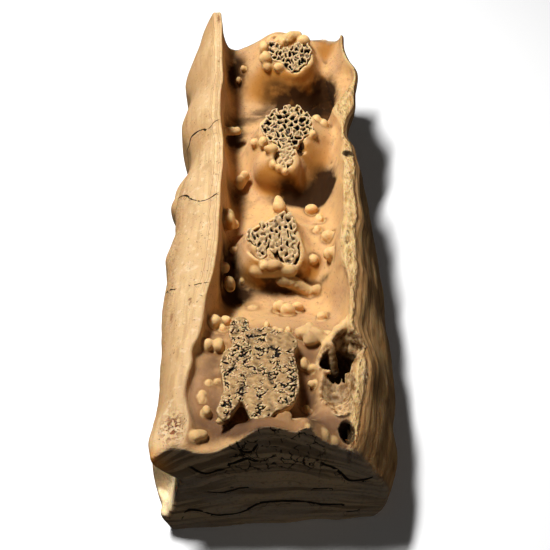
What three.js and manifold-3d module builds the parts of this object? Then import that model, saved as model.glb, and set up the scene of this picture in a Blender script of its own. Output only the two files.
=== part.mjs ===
// Fossil mammoth tooth section: one natural solid, lying on its flat sawn base.
// A block of grinding tooth opened along its length. Two walls stand along a waxy channel, four spongy
// bosses rise from the channel floor, and small pearls of dentine sit between them.
// Millimetres, +Z up, +Y along the length. The origin is the centre of the base.

import * as THREE from 'three';
import { mergeVertices } from 'three/addons/utils/BufferGeometryUtils.js';
import Module from 'manifold-3d';

const wasm = await Module();
wasm.setup();

// ---- driving dimensions -------------------------------------------------------------------------------

const LENGTH = 252; // front face to back face along the middle of the block
const FRONT = -LENGTH / 2;
const BACK = LENGTH / 2 - 3;
const STATIONS = 48; // cross-sections along the length
const FLOOR_STEPS = 15; // points across the channel floor in a cross-section
const EDGE_ROUND = 2.2; // how far the sections draw in at the two ends
const RIM_BAND = 4; // width of the bright band along the left wall's top
const WELD = 0.01; // vertices closer than this are one vertex
const DOME_TURNS = 20; // sides of a boss
const PEARL_TURNS = 8; // sides of a pearl

// Curves along the length: [y, value] pairs, joined smoothly by along().
const LEFT_SIDE = [[-126, -42.5], [-117, -45], [-104, -43.3], [-84, -43.6], [-54, -45.2], [-42, -44.2],
  [-27, -45.2], [-9, -42.7], [6, -44.6], [22, -44.6], [35, -39.6], [48, -43.2], [62, -44.2], [82, -42.4],
  [98, -45], [126, -43.5]];
const LEFT_RIM = [[-126, -31], [-104, -30.9], [-71, -27.4], [-49, -24.3], [-30, -22.9], [25, -23.3],
  [60, -25], [101, -27.2], [126, -29.4]];
const LEFT_TOP = [[-126, 54], [50, 54], [90, 56], [126, 62]];
const LEFT_SHOULDER = [[-126, 44], [0, 40], [80, 36], [126, 30]];
const LOW_LOBE = { y: 26, z: 20, bulge: 3.8, half: 11 }; // a rounded lobe low on the left side
const RIGHT_RIM = [[-126, 27], [-84, 30], [-66, 28.7], [-46, 28.8], [-35, 26.4], [-20, 27], [6, 30.4],
  [35, 31.9], [50, 30.3], [62, 29], [71, 33.2], [84, 37], [101, 35.2], [126, 32.6]];
const RIGHT_BAND = [[-126, 6], [-60, 3], [-20, 7], [20, 6], [46, 4], [62, 6], [80, 3], [126, 3]];
const RIGHT_TOP = 50;
const RIGHT_SIDE = [[-126, 42], [-112, 45.5], [-85, 47.6], [-30, 47.6], [6, 44.6], [22, 43.4], [35, 40.6],
  [48, 37.8], [62, 38.6], [84, 42], [101, 42.4], [126, 39.5]];
const FLOOR = [[-126, 50], [-106, 46], [-86, 42], [-68, 34], [-51, 28], [-30, 28], [14, 25], [35, 28],
  [56, 28], [79, 27], [100, 31], [126, 34]];

// Broad waxy hills on the floor: centre x, y, height and radius.
const HILLS = [
  { x: 7, y: 110, rise: 12, radius: 20 },
  { x: 4, y: 44, rise: 13, radius: 21 },
  { x: 0, y: -24, rise: 13, radius: 21 },
  { x: -6, y: -94, rise: 3, radius: 20 },
  { x: 0, y: -126, rise: 8, radius: 15 },
];

// Round bosses: the middle of the spongy face, its half sizes, its height and its tilt to the front.
const BOSSES = [
  { x: 7, y: 101, top: 50, rx: 12.5, ry: 13.5, tilt: 14 },
  { x: 5, y: 46, top: 52, rx: 13, ry: 13.5, tilt: 14 },
  { x: 5.5, y: 26, top: 47, rx: 7.5, ry: 9, tilt: 18 },
  { x: 0, y: -27, top: 51, rx: 12, ry: 15.5, tilt: 14 },
];

// The front boss is a lobed plate: its outline, then its underside and top.
const LEAF = [[-17, -79], [-14, -73.5], [-10, -74], [-8, -78.5], [-3, -78], [2, -79.5], [7, -83],
  [8.5, -92], [8.5, -103], [5.5, -111], [0, -115.5], [-5, -119.5], [-9.5, -117], [-12, -110.5],
  [-15.5, -116.5], [-19, -117], [-19.5, -108], [-18.5, -98], [-20, -90], [-17, -85]];
const LEAF_BOTTOM = 44;
const LEAF_TOP = 58.5;
const LEAF_BEVEL = 1.6;

// Pearls: x, y, half size across, half size upward, and how far the middle stands above the floor.
const PEARLS = [
  [-18.5, 44, 4.5, 4, 1.5], [-10, 41, 3, 3, 2], [18, 46, 4, 3.5, 1.5], [-17, 12, 3.6, 4.5, 1.5],
  [-19.5, -6, 3.6, 4, 1.5], [13, -6, 3, 2.6, 0.5], [17.5, -15, 3.2, 3, 0.5], [20, -25, 3.2, 3, 0.5],
  [20, -34, 4.8, 4.5, 1], [-17.5, -50, 4.2, 4.6, 1.5], [8, -51, 5.6, 4.6, 1.5], [15, -56, 4, 3.6, 1.5],
  [5, -66, 5, 3.6, 1.5], [18, -66, 4, 5, 2], [18, -79, 6, 4.6, 1.5], [-25.5, -72, 4.4, 3.6, 1],
  [-25, -84, 4.2, 3.6, 1], [13, -93, 4, 4, 1.5], [-27, -119, 4, 4, 1], [12.5, -114, 3, 3, 1],
];

// The broken hollow in the front of the right wall: a deep room and a second hole in front of it.
const HOLLOWS = [
  { x: 27.5, y: -93, z: 46, rx: 9.5, ry: 14, rz: 13 },
  { x: 29.5, y: -114, z: 52, rx: 3.6, ry: 5, rz: 9 },
];

// The corner that broke away below the left wall's overhanging front end: a wedge that is deepest at its
// top, bounded by a slanted wall that runs through (x, y) at this angle from the length.
const NOTCH = { x: -33, y: -128, top: 38, bottom: 14, depth: 9, angle: 31, run: 45 };

// ---- helpers ------------------------------------------------------------------------------------------

// The value of a curve table at y: a smooth cubic through its points, level past its two ends.
function along(table, y) {
  const last = table.length - 1;
  if (y <= table[0][0]) return table[0][1];
  if (y >= table[last][0]) return table[last][1];
  const i = table.findIndex((point) => point[0] > y) - 1;
  const slope = (k) => {
    if (k === 0 || k === last) return 0;
    return (table[k + 1][1] - table[k - 1][1]) / (table[k + 1][0] - table[k - 1][0]);
  };
  const span = table[i + 1][0] - table[i][0];
  const t = (y - table[i][0]) / span;
  const h = t * t * (3 - 2 * t);
  const bend = span * (slope(i) * t * (1 - t) ** 2 - slope(i + 1) * t * t * (1 - t));
  return table[i][1] * (1 - h) + table[i + 1][1] * h + bend;
}

// Height of the channel floor, with its hills.
function floorHeight(x, y) {
  let height = along(FLOOR, y);
  for (const hill of HILLS) {
    const d2 = ((x - hill.x) ** 2 + (y - hill.y) ** 2) / hill.radius ** 2;
    height += hill.rise * Math.exp(-d2 * 1.4);
  }
  return height;
}

// A welded, closed geometry with no slivers, ready for cutting and joining.
function weld(geometry) {
  geometry.deleteAttribute('normal');
  geometry.deleteAttribute('uv');
  const welded = mergeVertices(geometry, WELD);
  const corners = welded.index.array;
  const kept = [];
  for (let i = 0; i < corners.length; i += 3) {
    const [a, b, c] = [corners[i], corners[i + 1], corners[i + 2]];
    if (a !== b && b !== c && c !== a) kept.push(a, b, c);
  }
  welded.setIndex(kept);
  return welded;
}

function toSolid(geometry) {
  const closed = weld(geometry);
  return new wasm.Manifold(new wasm.Mesh({
    numProp: 3,
    vertProperties: new Float32Array(closed.attributes.position.array),
    triVerts: new Uint32Array(closed.index.array),
  }));
}

function toGeometry(solid) {
  const mesh = solid.getMesh();
  const geometry = new THREE.BufferGeometry();
  geometry.setAttribute('position', new THREE.BufferAttribute(mesh.vertProperties, 3));
  geometry.setIndex(new THREE.BufferAttribute(mesh.triVerts, 1));
  return weld(geometry);
}

// ---- the block with its two walls and channel ---------------------------------------------------------

// Outline of the block at station y, as points [x, z], anticlockwise seen from the front.
function section(y) {
  const end = Math.min(y - FRONT, BACK - y);
  const inset = EDGE_ROUND * Math.max(0, 1 - end / EDGE_ROUND) ** 2;
  const left = along(LEFT_SIDE, y) + inset;
  const lobe = LOW_LOBE.bulge * Math.exp(-(((y - LOW_LOBE.y) / LOW_LOBE.half) ** 2));
  const right = along(RIGHT_SIDE, y) - inset;
  const leftRim = along(LEFT_RIM, y);
  const rightRim = along(RIGHT_RIM, y);
  const leftTop = along(LEFT_TOP, y) - inset;
  const rightTop = RIGHT_TOP - inset;
  const shoulder = along(LEFT_SHOULDER, y);
  const band = along(RIGHT_BAND, y);
  const floorLeft = leftRim + 0.5;
  const floorRight = rightRim - 6;
  const points = [[left + 4.5, 0], [right - 4, 0], [right - 0.8, 8], [right, 20], [right - 1, 30]];
  points.push([(rightRim + band) * 0.55 + right * 0.45, rightTop - 9]);
  points.push([rightRim + band + 0.6, rightTop - 1.2], [rightRim + band - 0.6, rightTop]);
  points.push([rightRim + 0.8, rightTop], [rightRim, rightTop - 1]);
  const wallFoot = Math.min(floorHeight(floorRight, y) + 2, rightTop - 4);
  points.push([rightRim - 2, rightTop * 0.6 + wallFoot * 0.4]);
  for (let i = 0; i <= FLOOR_STEPS; i += 1) {
    const x = floorRight + (floorLeft - floorRight) * i / FLOOR_STEPS;
    const edge = Math.abs(i / FLOOR_STEPS - 0.5) * 2;
    points.push([x, floorHeight(x, y) + 2 * edge ** 6 - inset]);
  }
  points.push([leftRim - 0.6, leftTop * 0.5 + floorHeight(floorLeft, y) * 0.5]);
  points.push([leftRim, leftTop - 0.8], [leftRim - 0.8, leftTop], [leftRim - RIM_BAND, leftTop - 1]);
  points.push([(left + leftRim - RIM_BAND) / 2, (leftTop + shoulder) / 2 + 1]);
  points.push([left + 2.2, shoulder + 1.5], [left + 0.4, shoulder - 4]);
  points.push([left - lobe, LOW_LOBE.z], [left + 1.4 - lobe / 2, 8]);
  return points;
}

// The ends of the block run slightly askew.
function skew(x, y) {
  return y > 0 ? -0.11 * x * (y / BACK) ** 4 : 0.05 * x * (y / FRONT) ** 4;
}

function block() {
  const rings = [];
  for (let j = 0; j <= STATIONS; j += 1) {
    const even = j / STATIONS;
    const t = even - 0.035 * Math.sin(2 * Math.PI * even) / Math.PI;
    rings.push({ y: FRONT + (BACK - FRONT) * t, points: section(FRONT + (BACK - FRONT) * t) });
  }
  const count = rings[0].points.length;
  const positions = rings.flatMap(({ y, points }) => points.flatMap(([x, z]) => [x, y + skew(x, y), z]));
  const corners = [];
  for (let j = 0; j < STATIONS; j += 1) {
    for (let i = 0; i < count; i += 1) {
      const a = j * count + i;
      const b = j * count + (i + 1) % count;
      corners.push(a, b + count, b, a, a + count, b + count);
    }
  }
  const outline = (ring) => ring.points.map(([x, z]) => new THREE.Vector2(x, z));
  const back = STATIONS * count;
  for (const [a, b, c] of THREE.ShapeUtils.triangulateShape(outline(rings[0]), [])) corners.push(a, b, c);
  for (const [a, b, c] of THREE.ShapeUtils.triangulateShape(outline(rings[STATIONS]), [])) {
    corners.push(back + a, back + c, back + b);
  }
  const geometry = new THREE.BufferGeometry();
  geometry.setAttribute('position', new THREE.Float32BufferAttribute(positions, 3));
  geometry.setIndex(corners);
  return geometry;
}

// ---- what grows on the floor --------------------------------------------------------------------------

// A boss: a broad foot, a slight neck and a flat spongy face.
function boss({ x, y, top, rx, ry, tilt }) {
  const depth = 20;
  const profile = [[0, -depth], [1.25, -depth], [1.12, -9], [0.96, -4], [1, -1.4], [0.93, 0], [0, 0.4]];
  const points = profile.map(([r, h]) => new THREE.Vector2(r, h));
  const geometry = new THREE.LatheGeometry(points, DOME_TURNS);
  geometry.rotateX(Math.PI / 2);
  geometry.scale(rx, ry, 1);
  geometry.rotateX(THREE.MathUtils.degToRad(tilt));
  geometry.translate(x, y, top);
  return geometry;
}

function leafPlate() {
  const shape = new THREE.Shape(LEAF.map(([x, y]) => new THREE.Vector2(x, y)));
  const geometry = new THREE.ExtrudeGeometry(shape, {
    depth: LEAF_TOP - LEAF_BOTTOM - LEAF_BEVEL,
    bevelThickness: LEAF_BEVEL,
    bevelSize: LEAF_BEVEL,
    bevelOffset: -LEAF_BEVEL,
    bevelSegments: 1,
  });
  geometry.translate(0, 0, LEAF_BOTTOM);
  return geometry;
}

function pearl([x, y, across, upward, lift]) {
  const geometry = new THREE.SphereGeometry(1, PEARL_TURNS, 6);
  geometry.rotateX(Math.PI / 2);
  geometry.scale(across, across, upward);
  geometry.translate(x, y, floorHeight(x, y) + lift);
  return geometry;
}

// ---- what is broken away ------------------------------------------------------------------------------

function hollow({ x, y, z, rx, ry, rz }) {
  const geometry = new THREE.SphereGeometry(1, 14, 8);
  geometry.rotateX(Math.PI / 2);
  geometry.scale(rx, ry, rz);
  geometry.translate(x, y, z);
  return geometry;
}

function notch() {
  const { top, bottom, depth, run } = NOTCH;
  const reach = 30;
  const wedge = [[0, top], [-depth, bottom], [-reach, bottom], [-reach, top]];
  const shape = new THREE.Shape(wedge.map(([x, z]) => new THREE.Vector2(x, z)));
  const geometry = new THREE.ExtrudeGeometry(shape, { depth: run, bevelEnabled: false });
  geometry.rotateX(Math.PI / 2);
  geometry.translate(0, run * 0.7, 0);
  geometry.rotateZ(THREE.MathUtils.degToRad(NOTCH.angle));
  geometry.translate(NOTCH.x, NOTCH.y, 0);
  return geometry;
}

// ---- the tooth section --------------------------------------------------------------------------------

function toothSection() {
  let solid = toSolid(block());
  for (const shape of [...BOSSES.map(boss), leafPlate(), ...PEARLS.map(pearl)]) {
    solid = solid.add(toSolid(shape));
  }
  for (const shape of [...HOLLOWS.map(hollow), notch()]) solid = solid.subtract(toSolid(shape));
  const geometry = toGeometry(solid);
  geometry.computeBoundingBox();
  const centre = geometry.boundingBox.getCenter(new THREE.Vector3());
  geometry.translate(-centre.x, -centre.y, -geometry.boundingBox.min.z);
  geometry.computeVertexNormals();
  return geometry;
}

const dentine = new THREE.MeshStandardMaterial({ color: 0xc9a26b, roughness: 0.45, metalness: 0 });
const tooth = new THREE.Mesh(toothSection(), dentine);
tooth.name = 'tooth_section';

const object = new THREE.Group();
object.add(tooth);

export default object;
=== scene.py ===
# %% [markdown]
# # A section of fossil mammoth tooth
# The object is one block of a mammoth's grinding tooth, lying on its flat base. Its top is open: two walls
# stand along a waxy channel, and four spongy bosses rise from the channel floor between small pearls of
# dentine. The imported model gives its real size. Everything here is made to fit that box.

# %% Load the frame
import math
import bpy
import numpy as np
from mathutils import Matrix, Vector


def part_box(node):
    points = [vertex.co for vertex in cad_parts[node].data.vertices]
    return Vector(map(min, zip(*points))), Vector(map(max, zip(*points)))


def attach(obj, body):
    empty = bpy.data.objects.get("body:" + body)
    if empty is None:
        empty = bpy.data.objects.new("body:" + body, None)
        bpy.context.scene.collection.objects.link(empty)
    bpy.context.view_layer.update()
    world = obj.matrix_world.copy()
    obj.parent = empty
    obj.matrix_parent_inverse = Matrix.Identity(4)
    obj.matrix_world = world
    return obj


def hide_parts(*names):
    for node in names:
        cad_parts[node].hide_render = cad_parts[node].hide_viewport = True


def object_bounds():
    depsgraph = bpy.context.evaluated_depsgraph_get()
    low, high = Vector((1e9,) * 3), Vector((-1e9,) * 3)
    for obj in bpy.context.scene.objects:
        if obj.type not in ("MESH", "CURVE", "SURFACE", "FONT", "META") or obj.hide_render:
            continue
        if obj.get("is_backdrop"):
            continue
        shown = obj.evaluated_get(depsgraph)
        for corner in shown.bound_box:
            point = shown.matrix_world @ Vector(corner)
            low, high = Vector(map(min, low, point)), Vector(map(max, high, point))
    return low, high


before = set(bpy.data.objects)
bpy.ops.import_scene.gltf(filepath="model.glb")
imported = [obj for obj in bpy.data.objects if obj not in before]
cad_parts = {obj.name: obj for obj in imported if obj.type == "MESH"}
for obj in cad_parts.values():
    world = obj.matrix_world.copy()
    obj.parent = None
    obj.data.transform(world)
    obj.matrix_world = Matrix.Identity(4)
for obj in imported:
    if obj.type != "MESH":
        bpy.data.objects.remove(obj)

MM = 0.001
cad_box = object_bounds()
low, high = (np.array(corner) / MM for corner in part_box("tooth_section"))
FRONT, BACK = low[1] + 1.8, high[1] - 4.6  # inside the box, because the end faces lean and swell
print("tooth section, mm:", np.round(high - low, 1))

# %% [markdown]
# ## The curves that run along the block
# Seen from above, the walls wander and swell in lobes, because the tooth grew in folds. Each outline is a
# short list of places along the length (y) with the value there, in millimetres, joined by a smooth cubic.
# One list can be changed without touching the others.

# %% Curves along the length
LEFT_SIDE = [
    (-126, -43.8), (-118, -45.8), (-104, -43.4), (-84, -43.6), (-66, -44.6), (-54, -45.4), (-42, -44.8),
    (-34, -45), (-27, -46.3), (-20, -45), (-12, -43.3), (-2, -43.6), (7, -44.1), (14, -43.4), (22, -41.8),
    (30, -39.9), (38, -39.3), (45, -40.6), (51, -43), (57, -45), (65, -45.6), (75, -44.4), (83, -42.9),
    (90, -43.3), (97, -45.4), (106, -46.7), (115, -45.6), (126, -42.6),
]
LEFT_RIM = [
    (-126, -31.6), (-121, -30), (-115, -29.3), (-110, -30.2), (-103, -31.4), (-96, -31.1), (-90, -30),
    (-84, -30), (-79, -28.2), (-64, -26.4), (-58, -26), (-46, -24), (-36, -23.1), (-2, -23), (18, -22.6),
    (30, -23), (42, -24.4), (50, -25.2), (66, -25.4), (78, -24.9), (93, -25.8), (118, -26.8), (126, -27.6),
]
LEFT_TOP = [(-126, 52), (-112, 53), (-90, 54), (50, 54.5), (90, 55.5), (112, 58), (126, 60.3)]
LEFT_SHOULDER = [(-126, 46), (-100, 42), (0, 40), (80, 36), (126, 30)]
RIGHT_RIM = [
    (-126, 25), (-100, 27), (-84, 30), (-75, 29), (-68, 28), (-61, 28.7), (-50, 28.9), (-41, 28),
    (-36, 26.5), (-25, 26.6), (-18, 27.2), (-11, 28.8), (9, 29.4), (21, 30.6), (27, 30.2), (35, 31.4),
    (41, 30.2), (46, 30.6), (53, 30.2), (57, 28.6), (61, 27.8), (68, 31.2), (76, 35.5), (83, 38),
    (91, 38.4), (100, 35.6), (108, 33.8), (119, 33.3), (126, 33),
]
RIGHT_BAND = [
    (-126, 1.5), (-112, 5), (-95, 6), (-80, 3.5), (-58, 3), (-50, 4.4), (-37, 7.6), (-18, 7.4), (10, 6.5),
    (27, 6), (38, 4), (46, 3.2), (53, 5), (61, 10.5), (68, 8.5), (76, 5), (84, 3), (126, 2.2),
]
RIGHT_SIDE = [
    (-126, 42), (-118, 44.4), (-109, 45.8), (-97, 45.8), (-86, 47.3), (-58, 47.4), (-49, 46.5), (-33, 47),
    (-20, 46.2), (-10, 46), (0, 45), (11, 44.3), (24, 43.4), (31, 41), (38, 37.8), (46, 35.2), (56, 34.6),
    (67, 35.8), (79, 37.3), (90, 38), (110, 37), (126, 36),
]
RIGHT_TOP = [(-126, 50), (100, 50), (112, 51.5), (126, 54)]
FLOOR = [
    (-126, 50), (-106, 48), (-86, 46.5), (-70, 43.5), (-60, 38.5), (-52, 32.5), (-44, 28.5), (-30, 27),
    (14, 25), (35, 27), (56, 28), (72, 29), (88, 27), (100, 30), (110, 36), (117, 41), (126, 42.5),
]
LIP = [
    (-33, 50), (-21, 49.5), (-13, 54.5), (-6, 60.3), (1, 60.6), (7, 59), (10.5, 60.8), (14, 57), (20, 52),
    (25, 50), (33, 50),
]
RIM_BAND = 4  # width of the level band along the left rim


def along(table, y):
    """The curve's value at y: a cubic between its points, whose slope at each inner point is that of the
    line between its two neighbours, and level at both ends."""
    places, values = np.array(table, float).T
    slopes = np.zeros(len(places))
    slopes[1:-1] = (values[2:] - values[:-2]) / (places[2:] - places[:-2])
    i = np.clip(np.searchsorted(places, y, "right") - 1, 0, len(places) - 2)
    span = places[i + 1] - places[i]
    t = np.clip((y - places[i]) / span, 0, 1)
    ease = t * t * (3 - 2 * t)
    bend = span * (slopes[i] * t * (1 - t) ** 2 - slopes[i + 1] * t * t * (1 - t))
    return values[i] * (1 - ease) + values[i + 1] * ease + bend


# %% [markdown]
# ## A solid as a field of distances
# The fossil has undercuts, fillets, beads melted onto walls and a broken hollow. Lofted or turned surfaces
# would leave hard seams where the real one flows. So the block is worked out as a field: at every point of
# a fine grid, a number that is negative inside, positive outside, and close to the distance in millimetres.
# Two shapes join with a fillet when the smaller of their fields is taken softly, and cut each other with a
# rounded edge when the larger is.

# %% Soft joins, cuts and bells
def join(a, b, fillet):
    """Soft minimum: where the two fields differ by less than the fillet, material is added between."""
    near = np.maximum(fillet - np.abs(a - b), 0)
    return np.minimum(a, b) - near * near / (4 * fillet)


def overlap(a, b, edge):
    """Soft maximum: the material that both hold, with its edge rounded."""
    return -join(-a, -b, edge)


def bell(*parts, power=2):
    """One where every part is zero, and falling to nothing: e to minus the sum of the parts' powers."""
    return np.exp(-sum(part ** power for part in parts))


def fade(value, start, stop):
    """Zero on the start's side, one on the stop's side, and a smooth change between."""
    t = np.clip((value - start) / (stop - start), 0, 1)
    return t * t * (3 - 2 * t)


def waves(u, v, length, seed):
    """Smooth random relief between about -1 and 1: nine sine waves that cross in random directions, with
    wavelengths near the given length."""
    rng = np.random.default_rng(seed)
    total = 0
    for _ in range(9):
        turn, phase = rng.uniform(0, 2 * math.pi, 2)
        k = 2 * math.pi / (length * rng.uniform(0.7, 1.5))
        total = total + np.sin(k * (u * math.cos(turn) + v * math.sin(turn)) + phase)
    return total / 4.5


# %% The grid
STEP = 0.6  # distance between grid points
PAD = 2.4  # room for the grid round the model's box
PLAIN_BELOW = 24  # below this height the levels are twice as far apart, because the sides are plain there
X = np.arange(low[0] - PAD, high[0] + PAD, STEP, dtype=np.float32)[:, None, None]
Y = np.arange(low[1] - PAD, high[1] + PAD, STEP, dtype=np.float32)[None, :, None]
levels = [np.arange(-1.3, PLAIN_BELOW, 2 * STEP), np.arange(PLAIN_BELOW, 66, STEP)]
Z = np.concatenate(levels).astype(np.float32)[None, None, :]
print("grid points:", X.size, "x", Y.size, "x", Z.size)


def print_volume(what):
    """Prints the volume so far: the points inside on each level, times the volume that each stands for."""
    volume = ((solid < 0).sum((0, 1)) * np.gradient(Z.ravel())).sum() * STEP ** 2
    print(what, int(volume / 1000), "cm3")


# %% [markdown]
# ## The block
# The outside comes first: two sides that are curves of length and height, a base, two ends, and a top that
# falls from the left rim to a rounded shoulder. The left side has a low lobe, the right side spreads to its
# foot, and both tuck in where they meet the base.

# %% Sides, top and ends of the block
Y_SIDE, Z_SIDE = Y[0], Z[0]
X_TOP, Y_TOP = X[:, :, 0], Y[:, :, 0]
FOOT = 20  # below this height the sides tuck in to the base
RIM_LEVEL = 50  # about the right rim's height


def left_side(y, z):
    """Left side's x: the outline along y, drawn in by the square of the depth below the foot height, with
    one low lobe and soft ribs."""
    tuck = 4.5 * (np.maximum(FOOT - z, 0) / FOOT) ** 2
    lobe = 8.2 * bell((y - 29) / 12.5, (z - 16) / 11, power=4)
    return along(LEFT_SIDE, y) + tuck - lobe + 0.3 * waves(y, z, 20, 1) + 0.15 * waves(y, z * 0.4, 6, 2)


def right_side(y, z):
    """Right side's x: it runs from the rim's outer edge at the top to the foot's outline, easing outward,
    then tucks in below the foot height."""
    rim = along(RIGHT_RIM, y) + along(RIGHT_BAND, y)
    foot = along(RIGHT_SIDE, y)
    rise = np.clip((z - FOOT) / (RIM_LEVEL - FOOT), 0, 1)
    tuck = 4 * (np.maximum(FOOT - z, 0) / FOOT) ** 2
    ribs = 0.4 * waves(y * 0.5, z, 12, 3) + 0.1 * waves(y * 0.12, z, 3.5, 4)
    return foot + (rim - foot) * rise ** 1.35 - tuck + ribs


def top_height(x, y):
    """Height of the uncut top: on the left a slope from shoulder to rim with a slight swell, on the right
    the rim's level, and over the channel a wide bell that the channel's cut takes away again."""
    side, rim = along(LEFT_SIDE, y), along(LEFT_RIM, y) - RIM_BAND
    t = np.clip((x - side) / (rim - side), 0, 1)
    shoulder, crest = along(LEFT_SHOULDER, y), along(LEFT_TOP, y)
    slope = shoulder + (crest - shoulder) * (t + 0.1 * np.sin(math.pi * t)) + 0.2 * waves(x, y, 18, 5)
    right = along(RIGHT_TOP, y) + 0.5 * waves(x, y, 16, 6)
    return np.where(x < 0, slope, right) + 20 * bell((x - 0.5) / 17, power=4)


def front_face(x, z):
    """Front face's y: slightly askew, fuller at the base, with low swells along its growth bands."""
    bands = 0.5 * np.sin(z / 3.2 + 1.5 * np.cos(x / 30)) * np.clip((44 - z) / 10, 0, 1)
    lean = 4.2 * np.clip((z - 30) / 30, 0, 1) ** 1.5 - 1.4 * (1 - z / 60)
    skew = 0.02 + 0.05 * np.clip(1 - z / 40, 0, 1)
    return FRONT - 0.5 + skew * x + lean + bands + 0.4 * waves(x, z, 17, 7)


def back_face(x, z):
    """Back face's y: a broken end, more askew than the front."""
    return BACK - 0.11 * x + 0.9 * waves(x, z, 19, 8) + 0.35 * waves(x, z, 6, 9)


X_END, Z_END = X[:, 0, :], Z[0]
solid = np.maximum(left_side(Y_SIDE, Z_SIDE)[None] - X, X - right_side(Y_SIDE, Z_SIDE)[None])
solid = overlap(solid, Z - top_height(X_TOP, Y_TOP)[:, :, None], 4)
solid = overlap(solid, front_face(X_END, Z_END)[:, None, :] - Y, 2.4)
solid = overlap(solid, Y - back_face(X_END, Z_END)[:, None, :], 2.4)
solid = overlap(solid, -Z, 1.6)
print_volume("block:")

# %% [markdown]
# ## The channel
# The open channel is the tooth's pulp cavity. Its floor is a height above every point, with broad waxy hills
# that carry the bosses: gentle behind and steep in front. The left wall stands nearly upright and the right
# one leans out. Cutting it with a soft corner leaves the rolled rims and the fillet round the floor.

# %% Channel floor and walls
HILLS = [  # x, y, rise, half width left and right, reach behind and in front
    (5, 104, 17, 19, 15, 22, 11), (5, 41, 17, 18, 17, 32, 15), (1, -15, 14, 18, 20, 32, 16),
    (2, 124, 2, 8, 10, 9, 8), (-24, 124, -6, 9, 15, 12, 9), (28, 124, 7, 10, 13, 9, 9),
    (24, 52, 14, 13, 14, 11, 22), (26, 88, -6, 8, 10, 10, 14), (-24, -97, 2, 9, 9, 22, 16),
    (12, -97, -9, 5.5, 6, 20, 16), (-8, -112, -6, 12, 14, 7, 6),
]
LIP_END = -121  # behind this place the front lip fades into the floor


def floor_height(x, y):
    """Floor height: a curve along the length, plus a bell for each hill, whose reach differs on its four
    sides. At the front it rises to the lip's own curve."""
    height = along(FLOOR, y) + 0.5 * waves(x, y, 14, 10)
    for cx, cy, rise, left, right, behind, ahead in HILLS:
        across = (x - cx) / np.where(x < cx, left, right)
        lengthwise = (y - cy) / np.where(y > cy, behind, ahead)
        height = height + rise * np.exp(-1.4 * (across ** 2 + lengthwise ** 2))
    return height + bell(np.maximum(y - LIP_END, 0) / 8) * (along(LIP, x) - height)


def channel_walls(y, z):
    """The two inner walls' x: the rim's outline, moved inward with depth: a little on the left, more on the
    right, and hardly at all in the bay beside the back boss."""
    depth = np.clip((along(LEFT_TOP, y) - z) / 26, 0, 1)
    left = along(LEFT_RIM, y) + 2.5 * depth ** 2 + 0.3 * waves(y, z, 15, 11)
    depth = np.clip((RIM_LEVEL - z) / 20, 0, 1.4)
    lean = 8 - 6 * bell((y - 82) / 16, power=4)
    right = along(RIGHT_RIM, y) - lean * depth ** 1.2 + 0.4 * waves(y, z, 15, 12)
    return left, right


left_wall, right_wall = channel_walls(Y_SIDE, Z_SIDE)
channel = np.maximum(left_wall[None] - X, X - right_wall[None])
channel = overlap(channel, floor_height(X_TOP, Y_TOP)[:, :, None] - Z, 6)
solid = overlap(solid, -channel, 1.1)
print_volume("with the channel cut:")

# %% [markdown]
# ## Bosses
# Four bosses rise from the hills. Each is a waxy neck that flares into the floor and carries a spongy face.
# Each face has its own outline, a closed curve through a few points, because no two are alike. The distance
# to that outline gives the neck, the overhang and later the spongy face.

# %% Outlines of the spongy faces
FACES = {  # x, y of each outline's points
    "back": [
        (-3.7, 111), (-1.7, 114.5), (1.7, 112.5), (4.5, 109.5), (8.5, 110), (11.2, 112), (13, 114.9),
        (16.7, 112.4), (18.6, 108), (18.2, 102), (15.1, 98), (11.4, 94.3), (7, 95.5), (4.4, 97.5),
        (1.2, 101), (-2, 102.5), (-3.6, 106.7)
    ],
    "second": [
        (-6.8, 49), (-4.8, 53.4), (-2.2, 56.5), (3.5, 58.8), (8, 60.7), (12.4, 59.4), (14.4, 56.8),
        (17.3, 54), (17.2, 49.5), (17.2, 45.7), (15, 42), (11.5, 40.3), (10.6, 37.5), (8.6, 35),
        (8.7, 30.8), (7.3, 26), (4, 24.6), (1.3, 28), (2, 33.5), (1, 37.2), (-1.7, 39.3), (-4.8, 43.5)
    ],
    "third": [
        (-11.7, -19.2), (-9.8, -15.5), (-5, -13.4), (0, -11), (5.6, -9.2), (8, -11), (8.6, -15), (10, -20),
        (11.5, -24), (10.9, -28), (9, -31), (6.5, -30.6), (2.8, -30), (-0.6, -28), (-2.4, -24),
        (-3.8, -26.6), (-6, -28), (-9.2, -24.4)
    ],
    "front": [
        (-17.5, -71), (-16.5, -66), (-13.5, -64.5), (-10.5, -66), (-9.5, -71), (-4, -70), (2, -72.5),
        (6.5, -74.5), (8.5, -79), (7, -85), (8, -92), (8.5, -99.5), (8, -105), (5.5, -110), (0.5, -113.5),
        (-4, -118), (-7, -117.5), (-9, -114.5), (-10.5, -110), (-12, -108.5), (-13.5, -111), (-15.5, -115),
        (-17.5, -117), (-20, -113.5), (-18.5, -104.5), (-18.5, -98.5), (-20, -90.5), (-19, -84), (-16, -80),
        (-17, -75.5)
    ],
}
FACES = {name: np.array(points) for name, points in FACES.items()}
FACE_PLANE = {  # y, height there, slope towards the back
    "back": (94.5, 46, 0.29), "second": (24.5, 44, 0.22), "third": (-31, 40, 0.48),
    "front": (-118, 58.5, -0.19),
}


def face_height(name, y):
    """Height of a face's plane at y."""
    start, height, slope = FACE_PLANE[name]
    return height + slope * (y - start)


def closed_curve(p, steps=6):
    """A smooth closed curve through the points, by the Catmull-Rom formula on each stretch."""
    a, b, c, d = (np.roll(p, shift, axis=0)[:, None] for shift in (1, 0, -1, -2))
    t = np.linspace(0, 1, steps, endpoint=False)[None, :, None]
    curve = b + 0.5 * t * (c - a + t * (2 * a - 5 * b + 4 * c - d + t * (3 * (b - c) + d - a)))
    return curve.reshape(-1, 2)


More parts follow.
